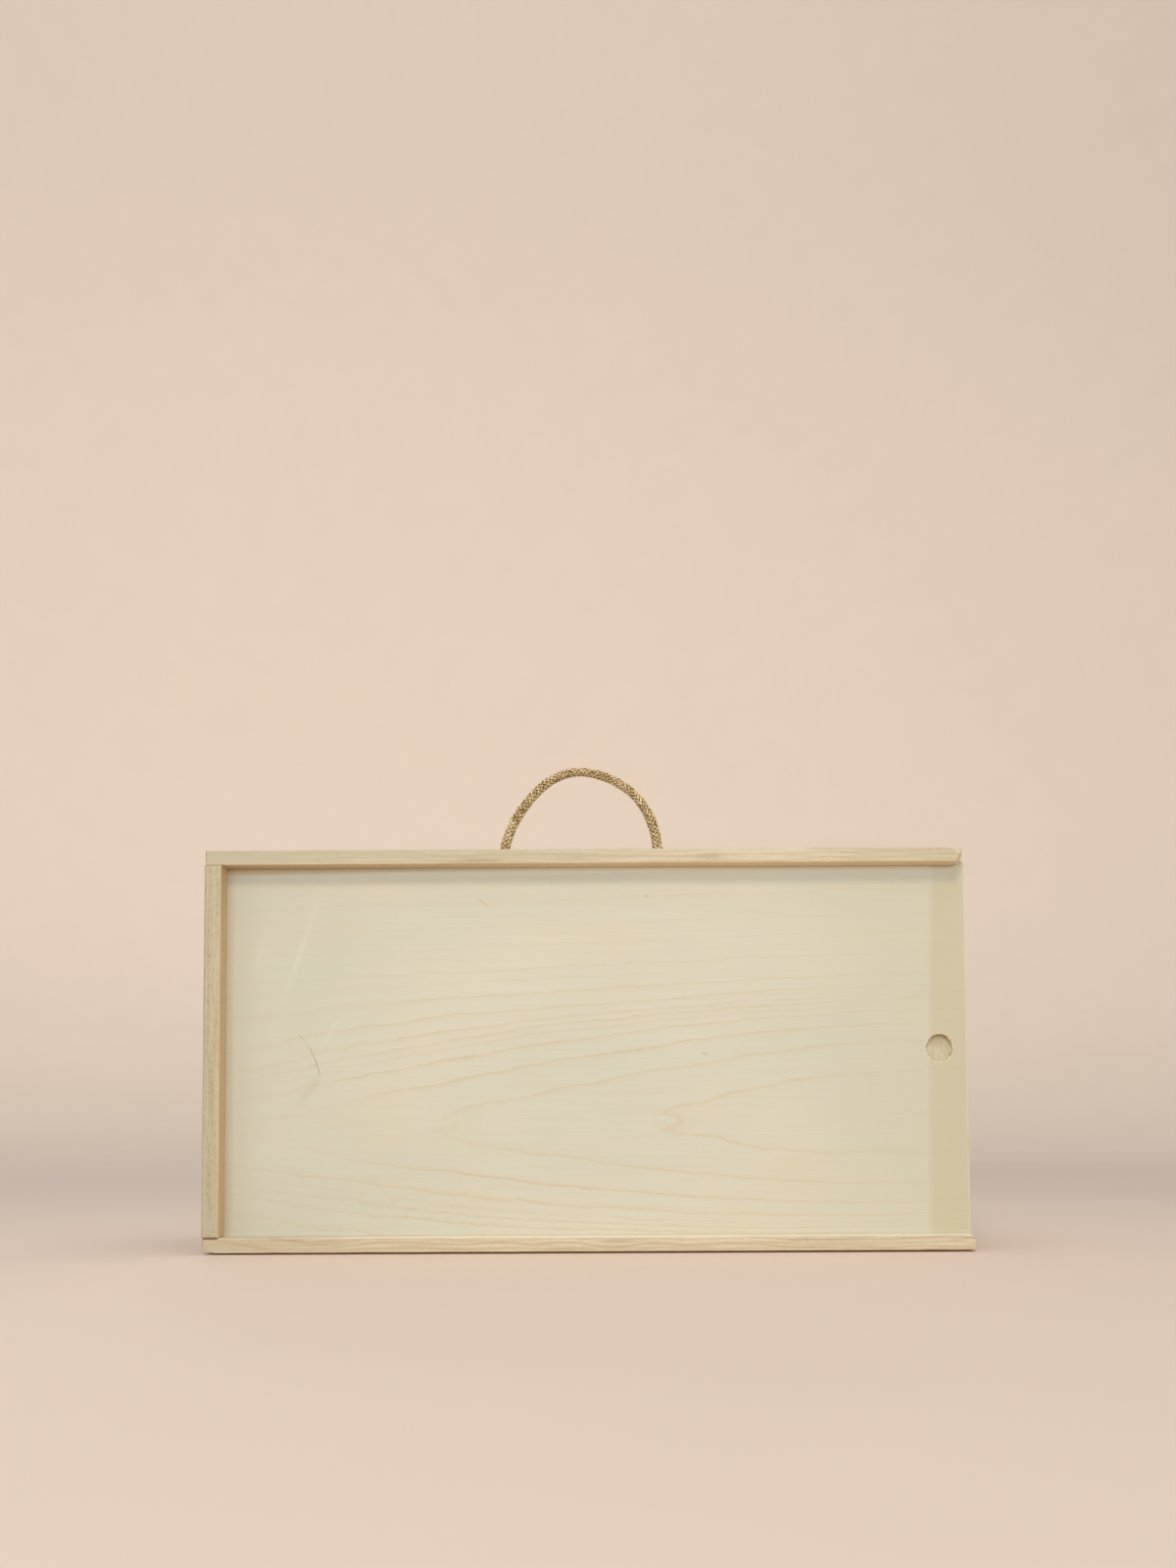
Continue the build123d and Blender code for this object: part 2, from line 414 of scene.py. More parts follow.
def add_braid(tubes, line, chance, swell, splay=np.ones_like, loose_end=0.0):
    """Ten strands wound each way round a line, over two and under two, of two straws each.

    swell scales the whole rope along its length, splay spreads the straws, and loose_end is by how
    much their ends may differ.
    """
    turn_rate = math.tan(braid_angle) / braid_radius
    everywhere = np.arange(0.0, line.length, straw_step)
    thickness = 1 + wander(chance, everywhere, 6 * MM, 0.03)
    for hand in (1, -1):
        for strand in range(strands_each_way):
            drift = wander(chance, everywhere, 5 * MM, 0.05)
            for lane in range(straws_per_strand):
                cut = chance.uniform(0, loose_end) if loose_end else 0.0
                s = everywhere[everywhere <= line.length - cut]
                place, _, side, across = line.at(s)
                scale = swell(s)
                crossing = turn_rate * s * strands_each_way / math.pi
                phase = 2 * strand - 0.5 if hand > 0 else 2.5 - 2 * strand
                lift = np.clip(1.3 * np.cos(math.pi / 2 * (crossing + phase)), -1, 1)
                turned = hand * turn_rate * s + 2 * math.pi * strand / strands_each_way
                turned = turned + drift[: len(s)] + wander(chance, s, 3 * MM, 0.035)
                radius = (braid_radius + braid_lift * lift) * scale * thickness[: len(s)]
                radius = radius * splay(s) + wander(chance, s, 2.2 * MM, 0.09 * MM)
                outward = side * np.cos(turned)[:, None] + across * np.sin(turned)[:, None]
                centre = place + outward * radius[:, None]
                heading = unit(np.gradient(centre, axis=0))
                wide = unit(np.cross(heading, outward))
                thick = np.cross(wide, heading)
                half_width = straw_half_width * scale * (1 + wander(chance, s, 3 * MM, 0.16))
                half_width = half_width * chance.uniform(0.75, 1.15)
                off_middle = lane - (straws_per_strand - 1) / 2
                centre = centre + wide * (off_middle * straw_pitch * scale)[:, None]
                flecks = np.clip(chance.normal(fleck_tone, fleck_spread, 200), 0.2, 1.3)
                which = np.floor((crossing + phase + 2) / 4).astype(int) % len(flecks)
                # Each straw is painted darker where it passes under others: painted shade, and dust
                tone = flecks[which] - under_shade * (1 - lift) / 2
                tubes.add(centre, wide, thick, half_width, straw_half_thickness * scale, tone)


def add_core(tubes, line, swell=np.ones_like, end=0.0):
    """The rope's core, coloured dark as painted shade where it shows between its straws."""
    s = np.arange(0.0, line.length - end, 1.2 * MM)
    place, _, side, across = line.at(s)
    radius = (braid_radius - braid_lift - straw_half_thickness) * swell(s)
    tubes.add(place, side, across, radius, radius, core_shade_tone, sides=10)


def add_stray_fibres(tubes, line, chance, count, start, end):
    """Thin ends of straw that stand off the rope."""
    share = np.linspace(0, 1, 6)[:, None]
    for _ in range(count):
        s = np.array([chance.uniform(start, end)])
        place, along, side, across = line.at(s)
        angle = chance.uniform(0, 2 * math.pi)
        outward = (side * math.cos(angle) + across * math.sin(angle))[0]
        round_rope = np.cross(along[0], outward)
        lean = chance.uniform(0.12, 0.5)
        heading = along[0] * chance.choice((-1, 1)) + round_rope * chance.uniform(-0.5, 0.5)
        reach = chance.uniform(1.2, 3.4) * MM
        centre = place[0] + outward * rope_radius * 0.94 + heading * reach * share
        centre = centre + outward * lean * reach * share**1.7
        direction = unit(np.gradient(centre, axis=0))
        wide = unit(np.cross(direction, outward))
        thickness = chance.uniform(0.035, 0.08) * MM * (1 - 0.7 * share[:, 0])
        tone = chance.uniform(0.4, 1.0)
        tubes.add(centre, wide, np.cross(wide, direction), thickness, thickness, tone, sides=4)


def straw_material():
    """Dry rush straw: golden brown, each straw its own shade, streaked along its length."""
    shader = Shader("straw_rope", 0.35)
    straight = shader.attribute("straw", output=1)
    streaks = straight.noise((160, 5200, 5200), 3, 0.6)
    patches = straight.noise((620, 310, 310))
    shade = streaks * 0.5 + patches * 0.5 + shader.attribute("tone") - 0.5
    stops = [
        (0.0, (80, 48, 20)),
        (1.0, (240, 224, 184)),
        (0.25, (150, 108, 58)),
        (0.5, (202, 170, 118)),
        (0.78, (226, 203, 156)),
    ]
    # Faces that look down are painted darker brown: painted shade on the rope's underside
    underside_shade = shader.facing()[Z].fade(-0.1, -0.9, 0.0, 0.4)
    base = paint(shade.ramp(stops), ((140, 98, 52), underside_shade))
    return shader.finish(base, streaks.bump(0.08 * MM, 0.7), streaks.fade(0.3, 0.7, 0.42, 0.7))


straw = straw_material()

# How thick the rope is along its length: distances in mm, and shares of its usual thickness
girth_places = (0, 13, 40, 66, 80, 96, 112, 124, 142, 148)
girth_shares = (1.0, 1.02, 1.02, 0.94, 0.91, 0.94, 1.0, 1.1, 1.08, 1.0)


def make_rope():
    """The whole rope between its knots: down both holes, and the arch of the handle."""
    line = Line(rope_route)
    chance = np.random.default_rng(7)

    def thickness_at(s):
        return np.interp(s / MM, girth_places, girth_shares)

    tubes = TubeMesh()
    add_core(tubes, line)
    add_braid(tubes, line, chance, thickness_at)
    hole_length = stem_depth + rope_radius
    add_stray_fibres(tubes, line, chance, 160, hole_length, line.length - hole_length)
    piece = attach("braided_rope", tubes.made("braided_rope"), straw)
    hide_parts("rope_handle", "rope_stem_left", "rope_stem_right")
    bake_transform(piece)
    return piece, line


# Stopper knot: one overhand knot drawn tight, from the hole above it down to its tail, in mm
knot_squeeze = 0.74
knot_height = 10.0 * MM
knot_tail = 12.0 * MM
fray_length = 7.0 * MM
knot_route = [
    (0.0, 0.0, 6.5),
    (-0.3, 0.0, 4.4),
    (-1.7, -0.4, 2.2),
    (-1.8, 0.3, -1.6),
    (-2.6, -1.4, -3.2),
    (0.6, -4.4, -3.0),
    (5.2, -2.6, -2.2),
    (5.4, 2.4, -1.2),
    (0.0, 4.6, 0.0),
    (-5.4, 2.4, 1.2),
    (-5.2, -2.6, 2.2),
    (-0.6, -4.4, 3.0),
    (2.6, -1.4, 3.2),
    (1.8, 0.3, 1.6),
    (1.7, -0.4, -2.2),
    (0.3, 0.0, -4.6),
    (0.2, 0.3, -8.0),
    (-0.6, 0.2, -12.5),
    (-0.2, -0.5, -16.6),
]


def make_knot(name, hole_x, replaced, seed):
    """The overhand knot under one hole, with the rope's frayed tail below it."""
    middle = Vector((hole_x, 0, top_z - board_thickness - knot_height / 2))
    turn = Matrix.Rotation(math.radians(35 * seed), 3, "Z")
    line = Line([middle + turn @ Vector(point) * MM for point in knot_route])
    chance = np.random.default_rng(seed)
    tail_start = line.length - knot_tail

    def swell(s):
        entry = np.interp(s, (2 * MM, 6 * MM), (1.0, knot_squeeze))
        tail = np.interp(s - tail_start, (0, 6 * MM), (knot_squeeze, 0.95))
        return np.where(s < tail_start, entry, tail)

    def splay(s):
        share = np.clip((s - line.length + fray_length) / fray_length, 0, 1)
        return 1 + 0.45 * share**1.6

    tubes = TubeMesh()
    add_core(tubes, line, swell, end=4 * MM)
    add_braid(tubes, line, chance, swell, splay, loose_end=3 * MM)
    add_stray_fibres(tubes, line, chance, 14, tail_start + 3 * MM, line.length)
    piece = attach(name, tubes.made(name), straw)
    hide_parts(replaced)
    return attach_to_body(piece, "case")


rope, rope_line = make_rope()
knots = [
    make_knot("left_knot", left_hole_x, "rope_knot_left", 1),
    make_knot("right_knot", right_hole_x, "rope_knot_right", 2),
]


# Wear: how far in from an edge it goes, how fast it fades, and how near an edge counts as on it
wear_reach = 2.0 * MM
wear_fading = 0.45 * MM
on_edge = 0.9 * MM

# Meshes: cuts beside the edges, what counts as one place, and the angle from which an edge is sharp
edge_cuts = (0.4 * MM, 1.1 * MM)
same_place = 0.0005 * MM
crease_angle = math.radians(38)


def direction_of(axis):
    return Vector([float(axis == n) for n in (X, Y, Z)])


def cut_in_cells(node, steps):
    """A copy of a CAD piece's surface, cut by planes a step apart, with more beside its edges."""
    form = bmesh.new()
    form.from_mesh(nodes[node].data)
    bmesh.ops.remove_doubles(form, verts=form.verts[:], dist=0.001 * MM)
    low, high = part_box(node)
    for axis, step in enumerate(steps):
        count = round((high[axis] - low[axis]) / (step * MM))
        places = [low[axis] + (high[axis] - low[axis]) * n / count for n in range(1, count)]
        for inset in edge_cuts:
            places += [low[axis] + inset, high[axis] - inset]
        direction = direction_of(axis)
        for place in sorted(places):
            geometry = form.verts[:] + form.edges[:] + form.faces[:]
            bmesh.ops.bisect_plane(
                form, geom=geometry, dist=same_place, plane_co=direction * place, plane_no=direction
            )
    return form


def refine(form, inside, steps):
    """Cuts the faces that lie inside a region into smaller cells, by planes a step apart."""
    for axis, (low, high, step) in enumerate(steps):
        direction = direction_of(axis)
        for place in np.arange(low, high, step):
            faces = [face for face in form.faces if inside(face.calc_center_median())]
            geometry = set(faces)
            for face in faces:
                geometry.update(face.edges)
                geometry.update(face.verts)
            bmesh.ops.bisect_plane(
                form,
                geom=list(geometry),
                dist=same_place,
                plane_co=direction * float(place),
                plane_no=direction,
            )


def roughness_at(place, scale, seed):
    """Smooth noise from about -1 to 1, with scale cells to a metre."""
    return noise.noise(Vector(place) * scale + Vector((seed * 7.3, seed * 3.1, seed * 5.7)))


def wear_edges(form, node, seed, depth=0.28):
    """Rounds and dents the outer edges of a board, and gives each vertex its share of wear."""
    low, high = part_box(node)
    layer = form.verts.layers.float.new("wear")
    for vertex in form.verts:
        place = vertex.co.copy()
        near = []
        for axis in (X, Y, Z):
            for bound, inward in ((low[axis], 1), (high[axis], -1)):
                near.append((abs(place[axis] - bound), axis, inward))
        near.sort()
        to_edge = near[1][0]
        if to_edge > wear_reach:
            continue
        closeness = math.exp(-to_edge / wear_fading)
        dent = max(0.0, roughness_at(place, 55, seed) - 0.12) * 1.9
        grit = 0.35 + 0.35 * roughness_at(place, 420, seed + 1)
        amount = depth * MM * closeness * (grit + dent)
        for gap, axis, inward in near[:2]:
            if gap < on_edge:
                vertex.co[axis] += inward * max(0.0, amount)
        vertex[layer] = min(1.0, closeness * (0.4 + dent))


def wear_corner(form, corner, reach, depth):
    """Rubs a corner away, towards the middle of the box and upwards."""
    inward = Vector((-math.copysign(1.0, corner.x), 0.4, 0.7)).normalized()
    for vertex in form.verts:
        off = vertex.co - corner
        closeness = math.exp(-((off.length / (reach * MM)) ** 2))
        grit = 0.8 + 0.3 * roughness_at(vertex.co, 300, 5)
        vertex.co += inward * depth * MM * closeness * grit


def settle(form, name, material):
    """Turns a worked form into a piece with the given material."""
    mesh = bpy.data.meshes.new(name)
    form.to_mesh(mesh)
    form.free()
    mesh.shade_smooth()
    mesh.set_sharp_from_angle(angle=crease_angle)
    return attach(name, mesh, material)


def place_piece(piece, node, body):
    """Lets a worn copy stand for its CAD piece, on that piece's body."""
    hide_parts(node)
    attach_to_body(piece, body)


def streak(place, start, end, half_width):
    """A soft straight mark between two places, given as x and z in mm."""
    along = Vector((end[0] - start[0], 0, end[1] - start[1]))
    reach = along.length * MM
    along.normalize()
    local = place - Vector((start[0], 0, start[1])) * MM
    travel = local.math("DOT_PRODUCT", along)
    off = abs(local.math("DOT_PRODUCT", Vector((along.z, 0, -along.x))))
    ends = travel.fade(0.0, 0.2 * reach) * travel.fade(reach, 0.75 * reach)
    return off.fade(half_width * MM, 0.0) * ends


# Figure of the bottom board near its left end: start and end as x and z in mm, half width, strength
board_figure = [
    ((-176, 6.6), (-145, 1.0), 1.3, 0.32),
    ((-152, 7.0), (-130, 4.9), 1.0, 0.42),
    ((-132, 4.6), (-101, 6.4), 1.1, 0.3),
    ((-106, 6.3), (-60, 6.2), 0.9, 0.3),
]


def edge_shades(board, base, place, facing):
    """Painted light and shade on the edges and inner sides of each board, and the bottom board's
    figure.
    """
    low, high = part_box(board)
    x, y, z = place.parts()
    if board == "closed_end_board":
        # Painted highlight on the rounded inner arris, and painted light on the inner side, lighter
        # towards the back
        arris_highlight = x.fade(high.x - 1.4 * MM, high.x - 0.7 * MM, 0.0, 0.35)
        lit_inner_side = facing[X].fade(0.5, 0.9) * y.fade(low.y, low.y + 5.0 * MM, 0.12, 0.5)
        return paint(base, ((214, 184, 142), arris_highlight), ((232, 206, 162), lit_inner_side))
    if board == "open_end_board":
        return base
    # Painted highlight along the lower front arris of the long boards
    lower_arris_highlight = z.fade(low.z + 0.5 * MM, low.z + 1.2 * MM, 0.45, 0.0)
    base = paint(base, ((236, 216, 180), lower_arris_highlight))
    on_lip = y.fade(low.y + lip_depth, low.y + lip_depth - MM)
    if board == "top_board":
        # Painted shade under the top board's lip, strongest at the left
        lip_under_shade = facing[Z].fade(-0.5, -0.9) * on_lip * x.fade(-0.17, 0.0, 0.24, 0.0)
        return paint(base, ((140, 98, 50), lip_under_shade))
    off_corner = x.fade(-0.16, -0.06, 0.25, 1.0)
    # Painted light on the top of the bottom board's lip and a painted highlight on its upper front
    # arris;
    lip_top_light = facing[Z].fade(0.5, 0.9) * on_lip * off_corner
    # further down, a painted shadow under the closed end board, beside the grain figure
    arris_highlight = z.fade(board_thickness - 0.9 * MM, board_thickness - 0.2 * MM, 0.0, 0.18)
    seam_shadow = z.fade(board_thickness - 0.9 * MM, board_thickness - 0.5 * MM, 0.0, 0.85)
    return paint(
        base,
        ((250, 240, 216), lip_top_light * 0.6),
        ((250, 234, 202), arris_highlight * off_corner),
        *[((180, 146, 108), streak(place, *mark) * share) for *mark, share in board_figure],
        ((116, 74, 40), seam_shadow * x.fade(-0.1722, -0.1732)),
    )


pale_pine = (219, 207, 180)
tan_pine = (184, 156, 116)
aged_pine = (197, 185, 157)
aged_tan = (166, 142, 106)


def pine_material(
    board, grain, heart, ring_width, seed,
    rings=1.0, figure=0.008, dashes=0.15, grey=0.5, pale=pale_pine, dark=tan_pine, stained=None,
):
    """Planed pine, with year rings round its own heart line, fibres and small dark streaks.

    grain is the axis that the fibres follow, and heart the place of the log's centre. rings and
    dashes say how strongly the year rings and the dark streaks show, figure how far the rings
    wander in metres, and grey how weathered it is. stained is a shade that the board takes on
    towards its left end.
    """
    shader = Shader(f"{board}_pine", 0.28)
    low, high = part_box(board)
    place = shader.place()
    x, y, z = place.parts()
    along_grain = (x, y, z)[grain]

    def stretched(across, along):
        return tuple(along if axis == grain else across for axis in (X, Y, Z))

    wobble = place.noise(stretched(14.0, 8.0), 3, shift=(seed, seed, seed), output=1)
    wobble = (wobble - (0.5, 0.5, 0.5)) * (figure, figure, figure)
    off_heart = (place + wobble - heart) * stretched(1.0, 0.0)
    ring = off_heart.math("LENGTH") / ring_width + along_grain * 2.2
    phase = ring.math("FRACT")
    which = ring.math("FLOOR").join(0.5, seed).noise(3.7)
    late = phase**3.0 * phase.fade(0.93, 1.0, 1.0, 0.0)
    late = late * which.fade(0.35, 0.65, 0.2 * rings, 0.75 * rings)
    fibre = place.noise(stretched(1500.0, 28.0), 3, 0.6)
    dash = place.noise(stretched(2200.0, 420.0), 1, shift=(seed, 1, 2)).fade(0.58, 0.72)
    broad = place.noise(stretched(60.0, 7.0), shift=(3, seed, 1))
    stain = place.noise(stretched(240.0, 28.0), 3)
    base = paint(
        colour(*pale),
        (dark, late),
        (dark, fibre.fade(0.3, 0.65, 0.5, 0.0)),
        ((186, 176, 146), broad.fade(0.35, 0.7, 0.0, grey)),
        ((166, 146, 118), stain.fade(0.55, 0.72, 0.0, 0.4)),
        ((112, 92, 70), dash * dashes),
    )
    if stained:
        base = paint(base, (stained, x.fade(-0.18, -0.05, 0.7, 0.0)))
    facing = shader.facing()
    # Faces that look neither to the front nor up turn warmer and darker: fresher wood that weather
    # didn't reach, and painted shade with warm light bounced between the boards
    fresh_and_shaded = facing[Y].fade(-0.8, -0.4) * facing[Z].fade(0.7, 0.3) * 0.6
    base = fresh_and_shaded.mix(base, colour(255, 232, 198), "MULTIPLY")
    end_grain = abs(facing[grain]).fade(0.6, 0.95)
    pits = place.noise(1900)
    base = (end_grain * 0.7).mix(base, pits.shades(0.4, 0.65, (172, 146, 108), (216, 194, 156)))
    worn = shader.attribute("wear") * stain.fade(0.4, 0.7, 0.1, 0.5)
    to_end = (along_grain - low[grain]).math("MINIMUM", high[grain] - along_grain)
    dirt = to_end.fade(0.1 * MM, 0.6 * MM, 1.0, 0.0) * end_grain.fade(0.9, 0.5) * 0.6
    base = paint(base, ((176, 150, 112), worn), ((96, 70, 46), dirt))
    base = edge_shades(board, base, place, facing)
    # A thin dark line along the very bottom edge: dirt, and painted contact shadow against the floor
    base = paint(base, ((58, 40, 28), z.fade(0.02 * MM, 0.14 * MM, 0.06, 0.0)))
    # The torn face: paler fresh wood, and painted lighter still as painted light on a face the lamps
    # leave in shade
    torn_wood_and_light = pits.shades(0.4, 0.66, (212, 190, 150), (243, 230, 202))
    base = shader.attribute("torn").mix(base, torn_wood_and_light)
    saw = place.noise(220, 3, 0.65)
    height = late * -0.35 + fibre * 0.5 + dash * -0.4 + saw * 0.6 + end_grain * pits * 1.2
    return shader.finish(base, height.bump(0.12 * MM, 0.8), fibre.fade(0.2, 0.8, 0.78, 0.58))


pine = {
    "top_board": pine_material(
        "top_board", X, (0, 0.05, 0.13), 1.5 * MM, 1.0,
        rings=0.8, figure=0.014, grey=0.6, stained=(186, 177, 151),
    ),
    "bottom_board": pine_material(
        "bottom_board", X, (0, -0.02, -0.05), 1.9 * MM, 2.0,
        rings=1.3, figure=0.024, grey=0.3, pale=(219, 207, 181), stained=(191, 176, 148),
    ),
    "closed_end_board": pine_material(
        "closed_end_board", Z, (-0.25, 0.02, 0), 1.3 * MM, 3.0,
        rings=0.4, dashes=0.4, grey=0.7, pale=aged_pine, dark=aged_tan,
    ),
    "open_end_board": pine_material("open_end_board", Z, (0.23, -0.03, 0), 2.2 * MM, 4.0, grey=0.4),
}

# The broken corner of the top board, as in the part's source: how far it goes along the front and
# back from it, and how much further at the bottom
break_length = 5.0 * MM
break_depth = 17.0 * MM
break_slant = 1.6 * MM
break_start = Vector((case_high.x - break_length, case_low.y, top_z))
break_down = Vector((-break_slant, 0, -board_thickness))
break_back = Vector((break_length, break_depth, 0))
break_outward = break_down.cross(break_back).normalized()
torn_depth = 1.1


def tear(form):
    """Tears the top board's broken face: fibres of unequal length, pulled out along the grain."""

    def near_break(centre):
        return (centre - break_start) @ break_outward > -0.5 * MM

    cells = [
        (1.0, 0.0, 1.0),
        (case_low.y, case_low.y + 24 * MM, 0.5 * MM),
        (top_z - board_thickness, top_z, 0.45 * MM),
    ]
    refine(form, near_break, cells)
    layer = form.verts.layers.float.new("torn")
    for vertex in form.verts:
        if abs((vertex.co - break_start) @ break_outward) > 0.02 * MM:
            continue
        cross = Vector((0, vertex.co.y, vertex.co.z))
        coarse = roughness_at(cross, 260, 11)
        fine = roughness_at(cross, 1300, 12)
        height = (vertex.co.z - top_z) / board_thickness + 1
        bulge = 1.5 * min(1.0, height / 0.3) - 0.5
        vertex.co.x += (bulge - torn_depth * (0.1 + 0.6 * coarse + 0.6 * fine)) * MM
        vertex.co.x = min(vertex.co.x, case_high.x)
        vertex[layer] = 0.9


def run_down(form):
    """Lets the front arris of the top board run down towards its broken corner."""
    for vertex in form.verts:
        along = min(1.0, max(0.0, (vertex.co.x - case_high.x + 16 * MM) / (11 * MM)))
        forward = max(0.0, 1 - (vertex.co.y - case_low.y) / (4 * MM))
        upper = max(0.0, 1 - (top_z - vertex.co.z) / (3 * MM))
        vertex.co.z -= 1.2 * MM * along**1.5 * forward * upper


def make_boards():
    """The four pine boards, as worn copies of their solids."""
    for seed, name in enumerate(pine):
        upright = name.endswith("end_board")
        form = cut_in_cells(name, (2.0, 3.0, 2.4) if upright else (2.4, 3.0, 2.0))
        if name == "top_board":
            tear(form)
            run_down(form)
        wear_edges(form, name, 3 + seed)
        if name == "bottom_board":
            low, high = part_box(name)
            wear_corner(form, low, 2.2, 0.7)
            wear_corner(form, Vector((high.x, low.y, low.z + 3 * MM)), 3.5, 0.5)
        place_piece(settle(form, f"{name}_wood", pine[name]), name, "case")


make_boards()


# Lid veneer: growth lines opened out to the right, in mm from the box's middle and base
grain_axis_z = 60.2
grain_axis_slope = 0.028
grain_tip_round = 12.0
grain_opening = 0.135
grain_opening_reach = 49.0
grain_turn_x = 67.0
grain_turn_run = 100.0
growth_lines = [8.3, 22.5, 34.0, 42.3, 46.6, 49.5, 52.7, 58, 65, 71, 76, 81.5, 86.6, 96, 108]
growth_notches = [(42, 60.4, 2.0), (-62, 59.5, 1.6), (-84, 66, 1.2), (58, 51, 0.8)]
growth_start = -30.0
growth_end = 120.0
growth_band = 3.4
lid_band_x = 160.6 * MM
lid_corner_radius = 4.0 * MM


def growth_field(place):
    """How far out from the heart of the log each place of the lid's face veneer lies, in mm."""
    x, _, z = (place * (1000, 1000, 1000)).parts()
    past = (x - grain_turn_x).math("MAXIMUM", 0.0)
    run = x - past * past * (0.5 / grain_turn_run)
    off = z - (x * grain_axis_slope + grain_axis_z)
    rounded = (off * off + grain_tip_round**2).math("SQRT")
    reach = (abs(off) / grain_opening_reach) ** 5.0
    field = rounded - run * grain_opening / (reach + 1.0)
    for notch_x, notch_z, size in growth_notches:
        off = (place - (notch_x * MM, 0, notch_z * MM)) * (70, 0, 400)
        away = off.math("LENGTH")
        field = field + (away * away * -1.0).math("EXPONENT") * size
    return field


def growth_shade(field):
    """How far each place is through the last few millimetres before a growth line, and which line."""
    inputs = {"Value": field.slope(growth_start, growth_end)}
    share = field.shader.node("ShaderNodeFloatCurve", inputs)
    curve = share.socket.node.mapping
    points = curve.curves[0].points
    points[0].location = (0, 0)
    points[1].location = (1, 1)
    rings = len(growth_lines) + 1
    for index, (before, line) in enumerate(zip([growth_start, *growth_lines], growth_lines)):
        rise = line - min(growth_band, 0.6 * (line - before))
        points.new((rise - growth_start) / (growth_end - growth_start), (index + 0.3) / rings)
        points.new((line - growth_start) / (growth_end - growth_start), (index + 1) / rings)
    for point in points:
        point.handle_type = "VECTOR"
    curve.update()
    ring = share * rings
    return ring.math("FRACT").slope(0.3, 1.0), ring.math("FLOOR")


def late_wood(place):
    """How strongly the growth lines of the lid's face show at each place."""
    x = place.parts()[X]
    wave = place.noise((38, 60, 95), 4, 0.62)
    jag = place.noise((170, 300, 640), 3, 0.6, shift=(5, 0, 3))
    field = growth_field(place) + (wave - 0.5) * 4.5 + (jag - 0.5) * 1.5
    phase, ring = growth_shade(field)
    line = phase**1.6 * 0.5 + phase.fade(0.68, 0.86) * 0.5
    tip = field.fade(44.0, 34.0) * x.fade(-0.085, -0.12)
    second_tip = field.fade(27.0, 24.0) * x.fade(-0.02, -0.07)
    which = ring.join(0.3, 0.7).noise(2.3)
    broken = place.noise((24, 30, 200), 3, 0.6, shift=(1, 4, 8))
    late = line * phase.fade(0.86, 1.0, 1.0, 0.0) * field.fade(50.0, 72.0, 1.0, 0.5)
    late = late * tip.slope(0.0, 1.0, 1.0, 0.35) * second_tip.slope(0.0, 1.0, 1.0, 0.5)
    late = late * field.fade(13.0, 10.0, 1.0, 1.35) * which.fade(0.3, 0.6, 0.5, 1.0)
    return late * broken.fade(0.32, 0.6, 0.8, 1.15)


def recess_shade(place, base):
    """Shades of the finger recess: a brown upper wall, a dull floor and pale torn fibres below."""
    off = (place - recess_centre) * (1, 0, 1)
    beyond = off.math("LENGTH") - recess_radius
    off_z = off.parts()[Z]
    deep = place.parts()[Y] - lid_low.y
    inside = beyond.fade(0.35 * MM, 0.1 * MM) * deep.fade(3.0 * MM, 2.6 * MM)
    flecks = place.noise(1100)
    floor = place.noise((1500, 300, 260)).shades(0.35, 0.65, (187, 176, 149), (205, 194, 166))
    # The floor is painted darker towards the top: painted shadow of the rim
    floor = paint(floor, ((164, 146, 116), off_z.fade(-1.0 * MM, 3.5 * MM, 0.0, 0.3)))
    torn = flecks.shades(0.4, 0.56, (158, 138, 102), (240, 226, 192))
    # The brown of the upper wall is painted shade, and the paler sides are painted light
    brown = flecks.shades(0.35, 0.65, (146, 108, 64), (180, 144, 96))
    sides = flecks.shades(0.4, 0.56, (186, 172, 138), (236, 226, 198))
    walls = off_z.fade(-1.8 * MM, 0.5 * MM).mix(torn, sides)
    walls = off_z.fade(4.0 * MM, 5.4 * MM).mix(walls, brown)
    wall = beyond.fade(-0.75 * MM, -0.35 * MM)
    rim = beyond.fade(0.9 * MM, 0.3 * MM) * flecks.fade(0.42, 0.6, 0.0, 0.5)
    rim = rim * off_z.fade(1.0 * MM, -3.0 * MM, 0.3, 1.0)
    return inside.mix(paint(base, ((234, 220, 186), rim)), wall.mix(floor, walls))


# Marks on the lid: start and end as x and z in mm, half width in mm, and strength
scuffs = [
    ((-159, 132), (-149, 171), 2.8, 0.16),
    ((-146, 116), (-127, 172), 2.4, 0.2),
    ((-126, 96), (-118, 112), 2.0, 0.1),
    ((-152, 60), (-134, 88), 4.0, 0.1),
]
scratch_parts = [
    ((-138.5, 103.5), (-131.5, 94.5), 0.6, 0.4),
    ((-133.2, 97.4), (-128.7, 87.6), 0.5, 1.0),
    ((-130.3, 92.0), (-127.2, 82.0), 0.5, 1.0),
]
# Small marks on the lid: as above, and their shade
small_marks = [
    ((-53.2, 167.6), (-47.1, 163.2), 0.9, 0.3, (188, 146, 98)),
    ((27.4, 168.3), (28.8, 167.7), 0.8, 0.42, (120, 98, 70)),
    ((53.4, 92.8), (57.0, 92.2), 0.8, 0.36, (180, 120, 92)),
    ((-96.0, 20.5), (-90.0, 23.5), 1.4, 0.12, (160, 146, 112)),
    ((-139.0, 68.0), (-126.0, 84.0), 3.6, 0.14, (176, 150, 112)),
]


